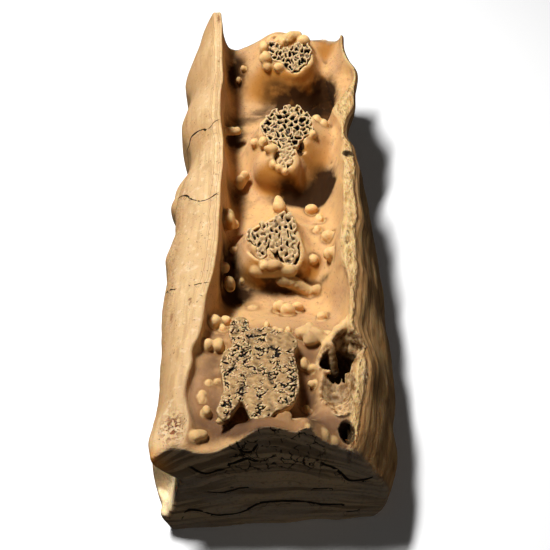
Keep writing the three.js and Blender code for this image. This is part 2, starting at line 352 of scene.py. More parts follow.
def outline_distance(name, x, y):
    """Distance to a face's outline, negative inside: the least distance to any of the curve's stretches,
    with the sign from the winding round the point."""
    curve = closed_curve(FACES[name])
    shape = np.broadcast_shapes(x.shape, y.shape)
    least, turns = np.full(shape, 1e9), np.zeros(shape)
    for (ax, ay), (bx, by) in zip(curve, np.roll(curve, -1, axis=0)):
        dx, dy = bx - ax, by - ay
        t = np.clip(((x - ax) * dx + (y - ay) * dy) / (dx * dx + dy * dy), 0, 1)
        least = np.minimum(least, np.hypot(x - ax - t * dx, y - ay - t * dy))
        side = dx * (y - ay) - dy * (x - ax)
        turns += ((ay <= y) & (by > y) & (side > 0)) * 1.0 - ((ay > y) & (by <= y) & (side < 0)) * 1.0
    return np.where(turns != 0, -least, least)


# %% Parts of the grid
def window(x0, x1, y0, y1, z0=-2, z1=70):
    """The part of the grid inside a box, as slices and as the three coordinate arrays."""
    cut = tuple(slice(int(np.searchsorted(axis.ravel(), a)), int(np.searchsorted(axis.ravel(), b)))
                for axis, a, b in ((X, x0, x1), (Y, y0, y1), (Z, z0, z1)))
    return cut, X[cut[0]], Y[:, cut[1]], Z[:, :, cut[2]]


def face_window(name, margin, z0):
    """The part of the grid round a face, above a height, and the distance to the face's outline."""
    (x0, y0), (x1, y1) = FACES[name].min(0) - margin, FACES[name].max(0) + margin
    cut, x, y, z = window(x0, x1, y0, y1, z0)
    return cut, x, y, z, outline_distance(name, x[:, :, 0], y[:, :, 0])[:, :, None]


def egg_scale(x, y, z, middle, halves):
    """Distance from an egg's middle, with each axis divided by its half size: one on the egg's skin."""
    return np.sqrt(sum(((axis - at) / half) ** 2 for axis, at, half in zip((x, y, z), middle, halves)))


# %% Domes, necks and the front plate
DOMES = [  # middle x, y, z, half sizes, fillet
    (5, 104, 30, 17, 10, 15, 7), (4, 45, 30, 16, 15, 17, 7), (0.5, 31, 36, 10.5, 8.5, 10.5, 3),
    (0, -16, 28, 16, 14, 15, 7), (-3, -26, 34, 11, 8, 9, 4), (20, -13, 30, 9, 14, 9, 6),
]


def add_dome(cx, cy, cz, rx, ry, rz, fillet):
    """Half an egg standing in the floor: its scale, less one, times its least half size."""
    reach = 4 + fillet
    cut, x, y, z = window(cx - rx - reach, cx + rx + reach, cy - ry - reach, cy + ry + reach, 15)
    egg = egg_scale(x, y, z, (cx, cy, cz), (rx, ry, rz))
    solid[cut] = join(solid[cut], (egg - 1) * min(rx, ry, rz), fillet)


def add_neck(name, flare):
    """The neck of a boss: the face's outline, a little larger, widening with depth, lumpy, and level a
    little below the face."""
    cut, x, y, z, edge = face_window(name, 12, 26)
    depth = np.maximum(face_height(name, y) - z, 0)
    side = edge + 0.3 - flare * np.minimum(depth / 14, 1) ** 1.1 - 0.35 * waves(x + y, z, 6, 13)
    solid[cut] = join(solid[cut], overlap(side, z - face_height(name, y) + 1.2, 0.8), 8)


def add_plate(name, thick, undercut):
    """The front boss: the face's outline as a thick plate with a rounded edge, on a foot that stands back
    from the outline by the undercut."""
    cut, x, y, z, edge = face_window(name, 8, 30)
    top = face_height(name, y) - 0.8
    plate = overlap(edge + 0.1, np.abs(z - top + thick / 2) - thick / 2, 2)
    foot = overlap(edge + undercut, z - top, 2)
    solid[cut] = join(solid[cut], join(plate, foot, 3), 2.5)


for dome in DOMES:
    add_dome(*dome)
for name, flare in (("back", 3.5), ("second", 4), ("third", 3)):
    add_neck(name, flare)
add_plate("front", 5, 2.5)

# %% Cups for the sponges
SPONGE_FLOOR = 0.9  # thickness of the floor that closes the pores
SPONGE_DEEP = {"back": 3.6, "second": 3.6, "third": 3.6, "front": 2.4}
CUP_INSET = {"back": 1, "second": 1, "third": 1, "front": 0.8}


def cut_cup(name):
    """Room for the spongy face: a shallow flat round it, except at the front, and a cup inside the outline,
    down to just above the sponge's floor."""
    cut, x, y, z, edge = face_window(name, 4, 30)
    level = face_height(name, y) - z
    if name != "front":
        solid[cut] = overlap(solid[cut], -np.maximum(edge - 1.6, level - 1.1), 1.5)
    cup = np.maximum(edge + CUP_INSET[name], level - SPONGE_DEEP[name] + 0.5)
    solid[cut] = overlap(solid[cut], -cup, 0.5)


for name in FACES:
    cut_cup(name)
print_volume("with the bosses:")

# %% [markdown]
# ## Pearls
# Pearls are beads of dentine that grew on the walls and the floor. Each is an egg-shaped field melted onto
# the surface with a small fillet, and clusters are several eggs close together. Rolls and fingers of dentine
# lie between them. The slope in the bay beside the back boss is a very thick roll, cut off level with the
# block's right side.

# %% Pearls and rolls
SWELL = 1.18  # how much larger a pearl is than its row says
PEARLS = [  # x, y, z of the surface it sits on, half width, half height
    (-16.5, 107, 38, 1.3, 1.3), (-18.9, 102, 34.6, 1.3, 1.3), (-5.5, 109.2, 49, 2.6, 2.6),
    (-5, 102.5, 47.5, 2.6, 2.6), (-4, 100, 44.5, 2.1, 2.1), (2, 98, 45, 2.1, 2.1),
    (14.6, 114, 49.5, 2.7, 2.6), (4.1, 112, 50.5, 2.1, 2.1), (-9.8, 43.4, 42, 1.7, 1.9),
    (-5.5, 39.8, 45.5, 2.1, 2.3), (19.6, 57, 44, 2.5, 2.4), (23, 55, 43.8, 2.1, 2),
    (-14.2, 30.4, 32.4, 1.7, 2.9), (-16.2, 28, 31, 2.2, 3.4), (-0.7, 26, 44.5, 1.4, 1.4),
    (1.9, 24.1, 44, 1.4, 1.4), (4.5, 22.9, 43, 1.4, 1.4), (16.5, 13, 28.5, 2.1, 2.1),
    (19.6, -1.5, 36, 2, 2.2), (18.2, -9.8, 38.8, 1.5, 1.5), (22.9, -15.1, 40, 2.4, 2.4),
    (24, -27, 41.5, 3, 3), (16.3, -25.1, 36.4, 1.7, 1.7), (-20, -5, 38.6, 2.9, 3.6),
    (-20.2, -1.6, 40, 1.7, 2.6), (-17.4, -4.6, 36.6, 1.6, 2), (-17.8, -17.7, 34.5, 1.3, 1.3),
    (-21, -32, 39, 1.9, 2.2), (-18.8, -38.6, 35.8, 2.4, 3.2), (-14.3, -31.1, 29.6, 0.9, 0.9),
    (-4.7, -32.3, 40.5, 1.7, 1.7), (-0.6, -32.3, 40.8, 2.5, 1.7), (3.7, -34.7, 33.4, 2.5, 2.1),
    (17.3, -36.1, 29.8, 1.7, 1.7), (-9.3, -44.7, 28.4, 1.2, 0.8), (2.2, -46.8, 30.4, 2.4, 3),
    (5.3, -49.8, 32.2, 2.4, 2.8), (9.2, -46.2, 30, 1.9, 2.4), (-23.6, -64.5, 43.2, 2.4, 2.8),
    (-26.6, -66, 43.5, 1.2, 1.4), (-19, -62.5, 41.6, 1.9, 2.2), (-20.2, -67, 43, 1.3, 1.3),
    (-25, -78, 47, 1.9, 2), (-21.2, -78.3, 46.6, 2.2, 2.2), (-3.2, -64.5, 41.8, 1.2, 1.2),
    (0, -69, 45, 1.1, 1.1), (2.4, -70, 45, 1.1, 1.1), (5.2, -67.8, 43, 1.2, 1.2),
    (11.2, -70.6, 44.6, 2.6, 2.3), (15.6, -71.4, 44.8, 2.7, 2.3), (13.3, -68.9, 44.4, 2.2, 2),
    (13.4, -73.5, 44.8, 2.5, 2), (17.6, -73.2, 44.8, 1.8, 1.6), (20.3, -71, 43.8, 1.7, 1.7),
    (17.5, -81.6, 44.5, 1.5, 1.5), (10.8, -83.6, 42.6, 1.9, 1.9), (13.7, -85.3, 41.8, 1.5, 1.5),
    (14, -91.7, 41, 1.5, 1.5), (-23.9, -96.8, 49.4, 0.9, 0.9), (-20.9, -95.9, 49.4, 0.7, 0.7),
    (-26.4, -102.6, 49.4, 0.9, 0.9), (-26.1, -101.4, 49.4, 0.8, 0.8), (-25.8, -104.1, 49.4, 0.9, 0.9),
    (-24.1, -109.3, 49.6, 1.6, 1.7), (-19, -116.5, 54.6, 1, 1), (-27.4, -119.8, 50.4, 1.8, 1.6),
    (-25.2, -119, 50.4, 1.7, 1.4), (11.4, -103.2, 40.8, 1.5, 1.8), (3, -117.5, 58.4, 2.1, 0.8),
    (16.4, -120.7, 53, 1.7, 1.4), (19.7, -122, 51, 1.3, 1), (11, -121.7, 59.6, 0.7, 0.7),
    (-1.8, 33, 47.5, 2.2, 1.8), (17.5, 44, 47, 1.6, 1.6), (-8.5, -22.5, 40.5, 1.6, 1.6),
]
ROLLS = [  # x, y, z and radius at one end, then at the other
    (1.8, 113.6, 50.8, 1.7, 7.6, 115.8, 51.8, 2.2), (7.6, 115.8, 51.8, 2.2, 12.2, 118.4, 51, 2.1),
    (-25, 58.2, 37.8, 1.9, -18.4, 58.4, 37.2, 2.1), (1.5, 13.5, 34, 2.2, 1.8, 8.5, 35, 3),
    (-7.5, -31.6, 37.2, 2.4, 6.5, -32.6, 38.4, 2.4), (7.1, -34.6, 33, 2.5, 14.3, -36.2, 29, 2.1),
    (19.4, -52.4, 33.5, 1.4, 18.4, -58, 39.4, 1.9), (29, -67, 48.3, 1.8, 24, -71.5, 47.8, 1.7),
    (24, -71.5, 47.8, 1.7, 19.4, -76.4, 45.5, 1.5), (19.4, -76.4, 45.5, 1.5, 17.6, -84, 43.6, 1.4),
]
BAY_SLOPE = (39.5, 80, 32, 9, 36.5, 104, 33, 9)  # a roll too


def add_pearl(cx, cy, cz, half, rise, fillet=1):
    """A lopsided egg: its scale, less one, times its least half size, melted onto what is there already. No
    two are alike, because the stretch and the dents depend on the place."""
    half, rise = SWELL * half, SWELL * rise
    stretch = 1 + 0.2 * math.sin(5 * cx + 3 * cy)
    reach = 1.2 * max(half, rise) + 4
    cut, x, y, z = window(cx - reach, cx + reach, cy - reach, cy + reach, cz - reach, cz + reach)
    egg = egg_scale(x, y, z - cz - 0.25 * rise, (cx, cy, 0), (half * stretch, half / stretch, rise))
    uneven = 0.14 * half * waves(x + z, y - z, 1.8 * half, int(10 * abs(cx)))
    solid[cut] = join(solid[cut], (egg - 1) * min(half, rise) + uneven, fillet)


def roll_share(roll, *axes):
    """How far along a roll's line, from zero at its first end to one at its other, the nearest place is."""
    runs = [(axis - a, b - a) for axis, a, b in zip(axes, roll[:3], roll[4:7])]
    return np.clip(sum(gap * run for gap, run in runs) / sum(run * run for _, run in runs), 0, 1)


def roll_gap(roll, t, *axes):
    """Distance to the place on a roll's line that the share t stands for."""
    return np.sqrt(sum((axis - a - t * (b - a)) ** 2 for axis, a, b in zip(axes, roll[:3], roll[4:7])))


def add_roll(roll, fillet=1.4):
    """A roll or a finger: the distance to the straight line between its two ends, less a radius that changes
    evenly from one end to the other."""
    ax, ay, az, ar, bx, by, bz, br = roll
    reach = max(ar, br) + 3 + fillet
    cut, x, y, z = window(min(ax, bx) - reach, max(ax, bx) + reach, min(ay, by) - reach, max(ay, by) + reach,
                          min(az, bz) - reach, max(az, bz) + reach)
    t = roll_share(roll, x, y, z)
    uneven = 0.3 * waves(x + z, y - z, 5, 31) + 0.15 * waves(x - z, y + z, 2.4, 32)
    solid[cut] = join(solid[cut], roll_gap(roll, t, x, y, z) - ar - t * (br - ar) + uneven, fillet)


add_roll(BAY_SLOPE, fillet=8)
cut, x, y, z = window(20, 60, 50, 127, -2, 60)
solid[cut] = overlap(solid[cut], x - right_side(y, z), 0.5)
for pearl in PEARLS:
    add_pearl(*pearl)
for roll in ROLLS:
    add_roll(roll)
print("pearls:", len(PEARLS), "rolls:", len(ROLLS))

# %% [markdown]
# ## What broke away
# The front of the right wall broke into a hollow with a ragged mouth and a strut across it. A second hole
# lies in front of it, a nick is gone from the right rim, and a dent lies beside the second boss's stem. A
# corner is gone from below the left wall's front end, which overhangs. These are eggs and a wedge taken away
# from the field, with sharper edges than the joins.

# %% The broken hollow and the missing corner
HOLLOWS = [  # x, y, z, half sizes, edge
    (27.5, -78.5, 48.5, 6, 6, 9, 0.8), (24.5, -83.5, 39, 8.2, 7.8, 14, 0.8),
    (22, -96.5, 49.5, 6.6, 9, 9, 0.8), (22, -82, 34, 8, 6.5, 6.5, 0.8), (23.6, -104, 54, 4.8, 8, 8, 0.8),
    (33.5, -94, 55.5, 3.2, 9, 6, 0.8), (24.8, -117.5, 51, 2.7, 4.6, 9, 0.6),
    (33.4, 28, 52.5, 3.6, 2.2, 4.2, 0.6),
]
DENT = (11.8, 36.5, 47, 1.9, 3.6, 4.5, 1.5)  # a hollow too
STRUT = (21, -78, 46, 1.6, 22.5, -82.5, 36, 2)  # a roll
CORNER = (-40.5, -119, 12.5)  # where the missing corner's shelf starts
CORNER_ROOF, CORNER_RIGHT = 34.5, -34  # its top and its right side


def cut_hollow(cx, cy, cz, rx, ry, rz, edge):
    """Takes away an egg whose surface is roughened by waves."""
    cut, x, y, z = window(cx - rx - 4, cx + rx + 4, cy - ry - 4, cy + ry + 4, cz - rz - 4)
    egg = egg_scale(x, y, z, (cx, cy, cz), (rx, ry, rz))
    rough = 0.5 * waves(x + z, y, 5, 21) + 0.35 * waves(x, y - z, 2.6, 22)
    solid[cut] = overlap(solid[cut], -((egg - 1) * min(rx, ry, rz) + rough), edge)


def cut_corner():
    """Takes away the missing corner: all that lies above a shelf that curves up behind and to the right,
    below a roof, and left of a riser that leans. Then the overhang's lower edge is worn round."""
    cut, x, y, z = window(-60, -20, -140, -90, 0, 44)
    cx, cy, cz = CORNER
    rise = np.maximum(x - cx, 0)
    shelf = cz + 0.9 * rise + 0.3 * rise ** 2 + 1.6 * np.maximum(y - cy, 0) ** 1.3
    ledge = 0.5 * (shelf - z) + 0.4 * waves(x + y, z, 7, 23)
    roof = z - CORNER_ROOF + 0.12 * (x + 40) + 0.3 * waves(x, y, 9, 24)
    riser = x - CORNER_RIGHT - 0.2 * (z - CORNER_ROOF)
    gap = overlap(overlap(ledge, roof, 1.5), riser, 1.5)
    solid[cut] = overlap(solid[cut], -gap, 2.5)
    cut, x, y, z = window(-60, -20, -140, -90, 33, 60)
    nose = 3.2 - 0.68 * (x + 44) - 0.68 * (z - 35.5) - 0.5 * np.maximum(y + 112, 0)
    solid[cut] = overlap(solid[cut], nose, 6)


for hollow in HOLLOWS + [DENT]:
    cut_hollow(*hollow)
add_roll(STRUT)
cut_corner()
print_volume("after the breaks:")

# %% [markdown]
# ## From field to mesh
# The skin of the fossil is where the field is zero. In every grid cell that the skin passes through, one
# vertex goes to the mean of the places where it crosses the cell's edges. Every grid edge that it crosses
# gives one face between the four cells around it. The faces make one closed surface, with no seams between
# the walls, the bosses and the pearls. Decimate then spends the triangles where the surface bends.

# %% Skin of a field
def skin(field, xs, ys, zs):
    """Vertices and four-sided faces of the field's zero surface, with every face looking outward."""
    inside = field < 0
    corners = sum(inside[i:i - 1 or None, j:j - 1 or None, k:k - 1 or None].astype(np.uint8)
                  for i in (0, 1) for j in (0, 1) for k in (0, 1))
    crossed_cells = np.argwhere((corners > 0) & (corners < 8))
    number = np.full(corners.shape, -1, np.int32)
    number[tuple(crossed_cells.T)] = np.arange(len(crossed_cells))
    total, hits = np.zeros((len(crossed_cells), 3)), np.zeros((len(crossed_cells), 1))
    for axis in range(3):
        for p in (0, 1):
            for q in (0, 1):
                start = np.insert([p, q], axis, 0)
                end = np.insert([p, q], axis, 1)
                a, b = field[tuple((crossed_cells + start).T)], field[tuple((crossed_cells + end).T)]
                crossed = (a < 0) != (b < 0)
                t = np.where(crossed, a / np.where(crossed, a - b, 1), 0)
                total[crossed] += (start + t[:, None] * (end - start))[crossed]
                hits[crossed] += 1
    place = crossed_cells + total / hits
    axes = [np.interp(at, np.arange(line.size), line.ravel()) for at, line in zip(place.T, (xs, ys, zs))]
    faces = []
    for axis in range(3):
        u, v = (axis + 1) % 3, (axis + 2) % 3
        lower, upper = [slice(1, -1)] * 3, [slice(1, -1)] * 3
        lower[axis], upper[axis] = slice(0, -1), slice(1, None)
        below, above = inside[tuple(lower)], inside[tuple(upper)]
        edges = np.argwhere(below != above)
        outward = below[tuple(edges.T)]
        edges[:, u] += 1
        edges[:, v] += 1
        steps = np.zeros((4, 3), int)
        steps[:, u], steps[:, v] = (-1, 0, 0, -1), (-1, -1, 0, 0)
        quad = np.stack([number[tuple((edges + step).T)] for step in steps], axis=1)
        quad[~outward] = quad[~outward][:, ::-1]
        faces.append(quad)
    return np.stack(axes, axis=1), np.concatenate(faces)


# %% Mesh tools
def mesh_object(name, vertices, faces):
    """A mesh object at the origin, with its place in its vertices, in metres, and smooth shading."""
    mesh = bpy.data.meshes.new(name)
    mesh.from_pydata(vertices * MM, [], faces.tolist())
    mesh.shade_smooth()
    piece = bpy.data.objects.new(name, mesh)
    bpy.context.scene.collection.objects.link(piece)
    print(name, "faces:", len(faces))
    return piece


def lighten(piece, triangles):
    """Applies Decimate so that the piece, made of four-sided faces, has about this many triangles."""
    modifier = piece.modifiers.new("lighten", "DECIMATE")
    modifier.ratio = triangles / (2 * len(piece.data.polygons))
    modifier.use_collapse_triangulate = True
    graph = bpy.context.evaluated_depsgraph_get()
    lighter = bpy.data.meshes.new_from_object(piece.evaluated_get(graph))
    piece.modifiers.clear()
    piece.data = lighter
    print(piece.name, "triangles:", len(lighter.polygons))


def give_number(piece, name, value):
    """Stores one number for every vertex, for the material to read."""
    layer = piece.data.attributes.new(name, "FLOAT", "POINT")
    layer.data.foreach_set("value", value.astype(np.float32))


BODY_TRIANGLES = 190000
tooth = mesh_object("tooth_body", *skin(solid, X, Y, Z))
lighten(tooth, BODY_TRIANGLES)

# %% [markdown]
# ## Spongy faces
# Where the growing plates ended, the dentine is a sponge: thin bright walls round open pores, with a thin
# rind along the scalloped outline. The pores are cells round scattered centres: a wall stands wherever the
# nearest and the second nearest centre are equally far. The cells bend with depth, some are plugged, and
# the wall tops are broken. Each sponge is worked out level, then tilted onto its boss.

# %% Cells round scattered centres
FINE = 0.3  # distance between grid points in a sponge


def scatter(corner, size, spacing, seed):
    """Random places in a rectangle, none nearer to another than the spacing: each candidate is kept if it is
    far enough from all that were kept before it."""
    rng = np.random.default_rng(seed)
    kept = np.empty((0, 2))
    for place in corner + rng.random((int(9 * size[0] * size[1] / spacing ** 2), 2)) * size:
        if len(kept) == 0 or ((kept - place) ** 2).sum(1).min() > spacing ** 2:
            kept = np.vstack([kept, place])
    return kept


def cells(u, v, centres):
    """Distance to the nearest centre, to the second nearest, and the nearest centre's number."""
    first = np.full(u.shape, 1e4, np.float32)
    second, owner = first.copy(), np.zeros(u.shape, np.int32)
    for number, (cu, cv) in enumerate(centres):
        gap = ((u - cu) ** 2 + (v - cv) ** 2).astype(np.float32)
        nearer = gap < first
        second = np.where(nearer, first, np.minimum(second, gap))
        first = np.where(nearer, gap, first)
        owner[nearer] = number
    return np.sqrt(first), np.sqrt(second), owner


# %% Grid and mesh of one sponge
def sponge_grid(name, margin):
    """Fine grid over one face: x, y, height above the face's plane, and distance to its outline."""
    start, stop = FACES[name].min(0) - margin, FACES[name].max(0) + margin
    x = np.arange(start[0], stop[0], FINE)[:, None, None]
    y = np.arange(start[1], stop[1], FINE)[None, :, None]
    up = np.arange(-SPONGE_DEEP[name] - 2 * FINE, 1.2, FINE)[None, None, :]
    return x, y, up, outline_distance(name, x[:, :, 0], y[:, :, 0])[:, :, None]


def sponge_object(name, field, x, y, up):
    """Mesh of a sponge, tilted onto its face's plane, with its depth below the plane as a number, which the
    material paints as shade. The depth fades out at the outline, so that pores get painted shade inside but
    the outer side stays pale."""
    field = np.maximum(field, -up - SPONGE_DEEP[name])
    vertices, faces = skin(field, x, y, up)
    inside = -outline_distance(name, vertices[:, 0], vertices[:, 1])
    depth = -vertices[:, 2] * fade(inside, 0, 1)
    vertices[:, 2] += face_height(name, vertices[:, 1])
    piece = mesh_object("sponge_" + name, vertices, faces)
    give_number(piece, "depth", depth)
    return piece


# %% Three open sponges
def open_sponge(name, spacing, stretch, seed, wall, rind, dense_below=-999):
    """Walls between cells, where half a wall is about as thick as wall says, a rind along the scalloped
    outline, plugs in some cells and a floor. In front of dense_below the walls are thick and pores few."""
    x, y, up, edge = sponge_grid(name, 1.5)
    depth = -up
    lean = 0.3 * depth
    u = x + 0.9 * waves(x, y, 4.2, seed) + lean * waves(x, y, 5, seed + 1)
    v = stretch * (y + 0.7 * waves(x, y, 4.5, seed + 2) + lean * waves(x, y, 5, seed + 3))
    points = FACES[name] * (1, stretch)
    centres = scatter(points.min(0) - 2, np.ptp(points, axis=0) + 4, spacing, seed)
    inner = outline_distance(name, centres[:, 0], centres[:, 1] / stretch) < -0.7
    near, second, owner = cells(u, v, centres)
    lobes = cells(u[:, :, -1:], v[:, :, -1:], centres[inner])[0]
    outline = overlap(edge - 0.5, lobes - 0.95 * spacing, 0.5)
    dense = np.clip((dense_below - y) / 3, 0, 1)
    thick = wall + 0.26 * waves(x, y, 2.6, seed + 4) + 0.03 * depth + 0.7 * dense
    field = join((second - near) / 2 - thick, np.abs(outline + rind - 0.03) - rind, 0.25)
    luck = np.random.default_rng(seed).random(len(centres))[owner]
    plug = 0.7 + 3 * luck * (1 - dense) + 0.3 * waves(x, y, 2, seed + 5) - depth
    plug = np.where(luck < 0.2 + 0.55 * dense, plug, 9)
    floor = SPONGE_DEEP[name] - SPONGE_FLOOR - depth
    field = np.minimum(np.minimum(field, plug), floor)
    broken = 0.1 + 0.8 * np.clip(waves(x, y, 2.2, seed + 6), -0.4, 1)
    broken = broken + 0.5 * np.clip(waves(x, y, 8, seed), 0, 1)
    broken = broken * np.clip(0.15 - outline / 1.3, 0, 1)
    field = overlap(field, broken - depth, 0.3)
    return sponge_object(name, overlap(field, outline, 0.3), x, y, up)


sponges = [
    open_sponge("back", 2.1, 0.85, 51, 0.3, 0.33),
    open_sponge("second", 2.05, 0.9, 61, 0.28, 0.33, dense_below=39),
    open_sponge("third", 1.8, 0.6, 71, 0.3, 0.55),
]


# %% The front face, mostly filled
def slotted_sponge(name, seed):
    """A filled face with winding slots: a slot lies along the line where random relief passes through zero,
    wherever a broader relief allows it. The right rear has none, and the worn parts have more."""
    x, y, up, edge = sponge_grid(name, 1.2)
    depth = -up
    filled = np.clip((x + 3) / 5, 0, 1) * np.clip((y + 86) / 6, 0, 1)
    filled = filled + 0.7 * bell((x + 3) / 4, (y + 108) / 8)
    worn = bell((x - 5) / 5, (y + 96) / 9) + bell((x + 12) / 6, (y + 80) / 12)
    allow = 0.45 + waves(x, y, 7, seed) - 1.1 * filled + 0.7 * worn
    slots = SPONGE_DEEP[name] + 0 * (x + y + up)
    for n, length in enumerate((4.2, 3.4, 5, 3.8)):
        bend = 0.8 * waves(x, y, 3.3, seed + 20 + n)
        line = np.abs(waves(x + bend + 0.15 * up, y + bend, length, seed + n)) * length / 3.1
        slot = line - 0.13 - 0.08 * waves(x, y, 3, seed + 9)
        limit = 0.9 * (0.5 + 0.1 * n - allow - 1.2 * waves(x, y, 4.2, seed + 4 + n))
        slots = np.minimum(slots, np.maximum(slot, limit))
    slots = np.maximum(slots, depth - SPONGE_DEEP[name] + SPONGE_FLOOR)
    swell = 0.32 * waves(x, y, 3.2, seed + 10) + 0.25 * waves(x, y, 9, seed + 11)
    ragged = edge - 0.1 + 0.25 * waves(x, y, 3, seed + 12)
    body = overlap(0.35 + swell - depth, ragged, 1.4)
    return sponge_object(name, overlap(body, -slots, 0.35), x, y, up)


sponges.append(slotted_sponge("front", 82))

# %% [markdown]
# ## What the surface knows about itself
# Old dentine takes its colour from where it lies. The outer sides are bleached cream, the channel is waxy
# ochre and hollows hold brown stains. Some colour stands in for light: painted shade in hollows and creases,
# on the bosses' front flanks and round the pearls' feet, a painted orange glow on thin edges, and painted
# highlights on convex edges and on the corner's shelf. So every vertex gets a few numbers, such as which
# surface it belongs to, how sharply it bends and how near a crack is. They are worked out from its place by
# the same curves that made the shape, and the material reads them.

# %% Where the stains with painted shade, scars and cracks are
# Brown stains together with painted shade: dark patches in the hollows, in the bay, under the bosses and
# beside the left wall
STAINS_AND_SHADE = [  # x, y, reach across and along, strength
    (-20, 108, 7, 13, 0.9), (-20, 62, 6, 12, 0.9), (24.5, 93, 5.5, 8, 1.5), (19, 86, 11, 5, 1.2),
    (22, 26, 6, 7.5, 1.35), (11, 19, 13, 4.2, 1.15), (22, 20, 7, 4.5, 0.8), (14, 88, 9, 4, 0.6),
    (-18, 22, 6, 9, 0.6), (-20, -28, 6, 20, 0.8), (8, -34.5, 16, 3.5, 1.1), (-16, -38, 7, 6, 0.8),
    (8, 84, 14, 6, 0.7), (-22, -88, 7, 18, 0.6), (12, -97, 4.5, 18, 0.7), (-8, -118, 12, 5, 1.2),
    (-24, -112, 6, 10, 0.6), (22, -116, 9, 9, 0.9), (-10, 78, 14, 9, 0.45), (14, -80, 7, 8, 0.35),
    (0, 94, 9, 6, 0.5), (-20, -66, 6, 6, 0.6),
]
SCARS = [  # on the bleached side: x, y, reach across and along, strength
    (-32.7, -60.5, 0.7, 2.4, 1), (-40, -64.5, 0.9, 5, 0.7), (-39.6, -25, 0.7, 1.2, 0.8),
    (-42, -10, 0.6, 2, 0.6), (-28.3, 120, 1.2, 3, 0.9), (-36, -80, 1.5, 7, 0.35),
    (-30, -100, 1.2, 10, 0.35), (-42.5, 60, 1, 8, 0.5),
]
CRACKS = [  # x with y, on the left side
    [(-46, 49), (-41.8, 49), (-37.5, 47.5), (-33.3, 45), (-31.7, 42.3), (-29.3, 42.6), (-26.7, 45.5),
     (-25, 46.5)],
    [(-46, 11), (-40, 6.5), (-35.8, -0.3), (-32, -4.1), (-27.5, -5.4), (-23, -2)],
    [(-47, -45.5), (-44.1, -46.3), (-39.8, -49.6), (-33.3, -52.3), (-29.2, -53.2), (-24, -52.5)],
]
FRONT_CRACKS = [  # x with z, on the front face
    [(-30, 42), (-26.2, 38.8), (-23.4, 37.7), (-20.2, 38.8), (-16.6, 42.2), (-15.5, 48), (-15, 57)],
    [(15.2, 49), (15.8, 43.6), (19.8, 40.2), (23.5, 36), (26.6, 32.4), (30.1, 32.4), (35, 34.5)],
    [(-35, 10), (-32.8, 15.2), (-27.7, 14.4), (-22.3, 12.1), (-13, 12.1), (-6.2, 16.8), (-1.8, 18.3),
     (9.2, 16.8), (18.4, 14.4), (25.1, 14.4), (26.9, 8.9), (31.6, 10.5), (32.4, 20.6)],
    [(-26, 27.5), (-17.9, 26.6), (-14.3, 28), (-8, 28.8)],
    [(12.5, 27), (16.1, 28), (22.5, 26.6)],
    [(-16, 42), (-14.9, 42.9), (-10.3, 45.6), (-6.2, 44.3), (1, 47)],
    [(-14, 56), (-11.9, 50.3), (-8.5, 49), (-5, 53)],
]


# %% Tools for surface numbers
def vertex_places(piece):
    """Every vertex's place in millimetres, and its normal."""
    count = len(piece.data.vertices)
    place, normal = np.empty(count * 3, np.float32), np.empty(count * 3, np.float32)
    piece.data.vertices.foreach_get("co", place)
    piece.data.vertices.foreach_get("normal", normal)
    return place.reshape(-1, 3) / MM, normal.reshape(-1, 3)


def bend(piece, rounds):
    """How sharply the surface bends: how far each vertex stands out from the mean of its neighbours, over
    the square of its edges' mean length, made even by a few rounds of averaging."""
    place, normal = vertex_places(piece)
    ends = np.empty(len(piece.data.edges) * 2, np.int32)
    piece.data.edges.foreach_get("vertices", ends)
    a, b = ends.reshape(-1, 2).T
    size = len(place)
    degree = np.bincount(a, minlength=size) + np.bincount(b, minlength=size)

    def mean_of_neighbours(value):
        return (np.bincount(a, value[b], size) + np.bincount(b, value[a], size)) / degree

    middle = np.stack([mean_of_neighbours(place[:, n]) for n in range(3)], axis=1)
    gap = np.linalg.norm(place[a] - place[b], axis=1)
    length = (np.bincount(a, gap, size) + np.bincount(b, gap, size)) / degree
    value = ((place - middle) * normal).sum(1) / length ** 2
    for _ in range(rounds):
        value = (value + mean_of_neighbours(value)) / 2
    return value


def crack_numbers(x, v, cracks, seed):
    """Signed distance to the nearest crack line, and how much of a crack is there: all of it near the line
    and between its ends, none elsewhere."""
    best, near = np.full(x.shape, 9.0), np.zeros(x.shape)
    for n, crack in enumerate(cracks):
        start, stop = crack[0][0], crack[-1][0]
        slope = (along(crack, x + 0.2) - along(crack, x - 0.2)) / 0.4
        gap = (v - along(crack, x) - 0.35 * waves(x, x * 0, 4, seed + n)) / np.hypot(1, slope)
        here = fade(x, start - 0.5, start + 1) * fade(x, stop, stop - 1)
        here = here * (np.abs(gap) < 2)
        closer = (here > 0) & (np.abs(gap) < np.abs(best))
        best, near = np.where(closer, gap, best), np.maximum(near, here)
    return best, near


# %% Which surface each vertex of the body belongs to
place, normal = vertex_places(tooth)
px, py, pz = place.astype(float).T
rim = along(LEFT_RIM, py)
fronting = fade(py - front_face(px, pz), 2.3, 0.7) * fade(normal[:, 2], 0.7, 0.35)
backing = fade(py - back_face(px, pz), -2.3, -0.7)
outer = fade(rim - px, 0.3, 1.2)
righting = fade(px - right_side(py, pz), -2.2, -0.8) * fade(normal[:, 0], 0.2, 0.5)
band = fade(px - along(RIGHT_RIM, py), -0.5, 1) * (1 - righting) * fade(pz, 40, 46)
# Painted shade: the bosses' flanks that face the front, away from the key light, are painted dark amber
flank_shade = fade(-normal[:, 1], 0.25, 0.8) * (pz > 24) * (1 - outer) * (1 - fronting) * (py > -60)
# The shelf of the missing corner; the material paints it bright, as painted light falling on it
on_shelf = (px < CORNER_RIGHT + 0.5) & (py < -105) & (pz < CORNER_ROOF - 0.5) & (pz > CORNER[2] - 1.5)
ledge = on_shelf & (py > front_face(px, pz) + 0.8) & (px > left_side(py, pz) + 0.8)
growth = pz + 0.4 * pz * ((px + 2) / 38) ** 2 + 0.8 * waves(px, pz, 26, 41) + 0.5 * waves(px, pz * 2, 9, 42)


# %% Stains with painted shade, pearls and breaks
def patches(table):
    """Soft round patches on the body: the sum of a bell in x and y for each, times its strength."""
    return sum(power * bell((px - x) / across, (py - y) / along_y) for x, y, across, along_y, power in table)
